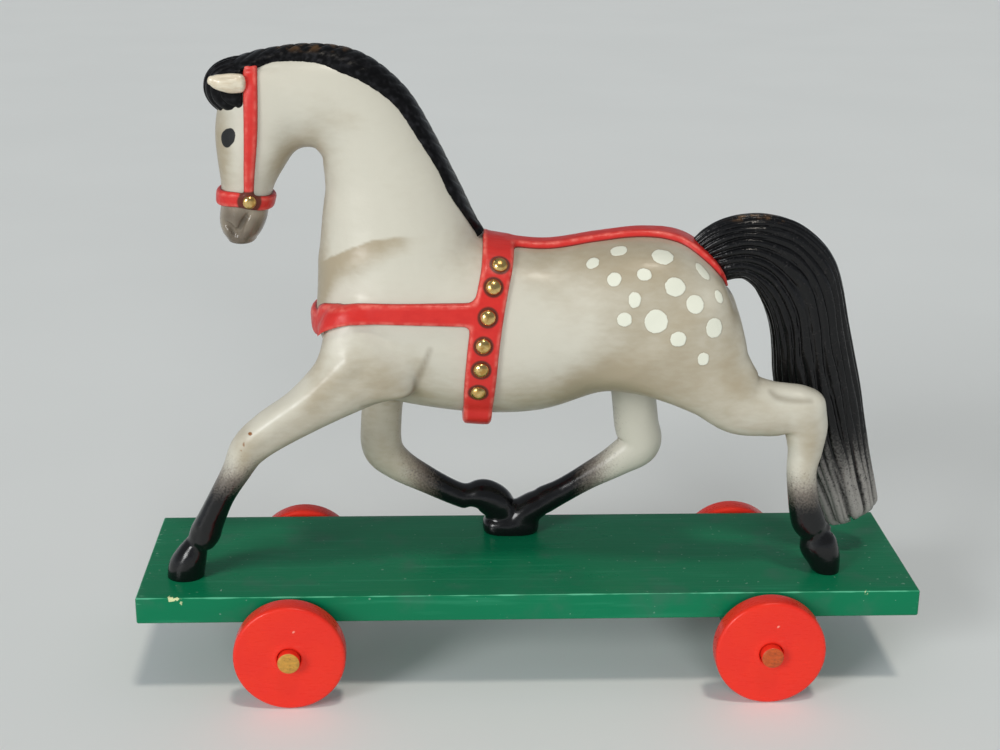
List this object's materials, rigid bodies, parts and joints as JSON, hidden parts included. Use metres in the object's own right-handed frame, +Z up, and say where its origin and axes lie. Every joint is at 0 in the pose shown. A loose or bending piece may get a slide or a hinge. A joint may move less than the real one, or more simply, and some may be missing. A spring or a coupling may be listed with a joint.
{
  "type": "pull along toy",
  "caption": "Carved and painted dapple-grey horse with a red studded harness, standing in a galloping pose on a flat green deck that rolls on red disc wheels.",
  "frame": {"origin": "on the floor, under the middle of the deck", "axes": "+Z up; the horse faces -X, along the deck; its near (left) side is -Y; the axles lie along Y"},
  "size_m": [0.106, 0.0378, 0.0865],
  "materials": {
    "deck": "gloss green paint over wood",
    "block": "gloss green paint over wood",
    "wheel": "gloss orange-red paint over wood",
    "dowel": "bare end grain, sides painted red",
    "horse": "gloss ivory and taupe paint, dappled rump, dark lower legs",
    "black": "gloss black paint over carved wood",
    "strap": "gloss red paint",
    "stud": "worn brass",
    "peg": "bare wood"
  },
  "bodies": {
    "deck_and_horse": {"deck": "deck", "front_axle_block": "block", "rear_axle_block": "block", "near_fore_peg": "peg", "near_hind_peg": "peg", "off_hoof_peg": "peg", "horse_body": "horse", "near_fore_leg": "horse", "near_hind_leg": "horse", "off_fore_leg": "horse", "off_hind_leg": "horse", "near_ear": "horse", "off_ear": "horse", "mane": "black", "forelock": "black", "tail": "black", "girth": "strap", "breast_strap": "strap", "back_strap": "strap", "headstall": "strap", "noseband": "strap", "near_girth_stud_1": "stud", "near_girth_stud_2": "stud", "near_girth_stud_3": "stud", "near_girth_stud_4": "stud", "near_girth_stud_5": "stud", "near_girth_stud_6": "stud", "off_girth_stud_1": "stud", "off_girth_stud_2": "stud", "off_girth_stud_3": "stud", "off_girth_stud_4": "stud", "off_girth_stud_5": "stud", "off_girth_stud_6": "stud", "near_noseband_stud": "stud", "off_noseband_stud": "stud"},
    "front_axle_set": {"front_axle": "dowel", "near_front_wheel": "wheel", "off_front_wheel": "wheel"},
    "rear_axle_set": {"rear_axle": "dowel", "near_rear_wheel": "wheel", "off_rear_wheel": "wheel"}
  },
  "joints": [
    {"name": "front_axle_spin", "type": "hinge", "parent": "deck_and_horse", "child": "front_axle_set", "pos_m": [-0.0324, 0, 0.0075], "axis": [0, 1, 0], "continuous": true},
    {"name": "rear_axle_spin", "type": "hinge", "parent": "deck_and_horse", "child": "rear_axle_set", "pos_m": [0.0322, 0, 0.0075], "axis": [0, 1, 0], "continuous": true}
  ]
}
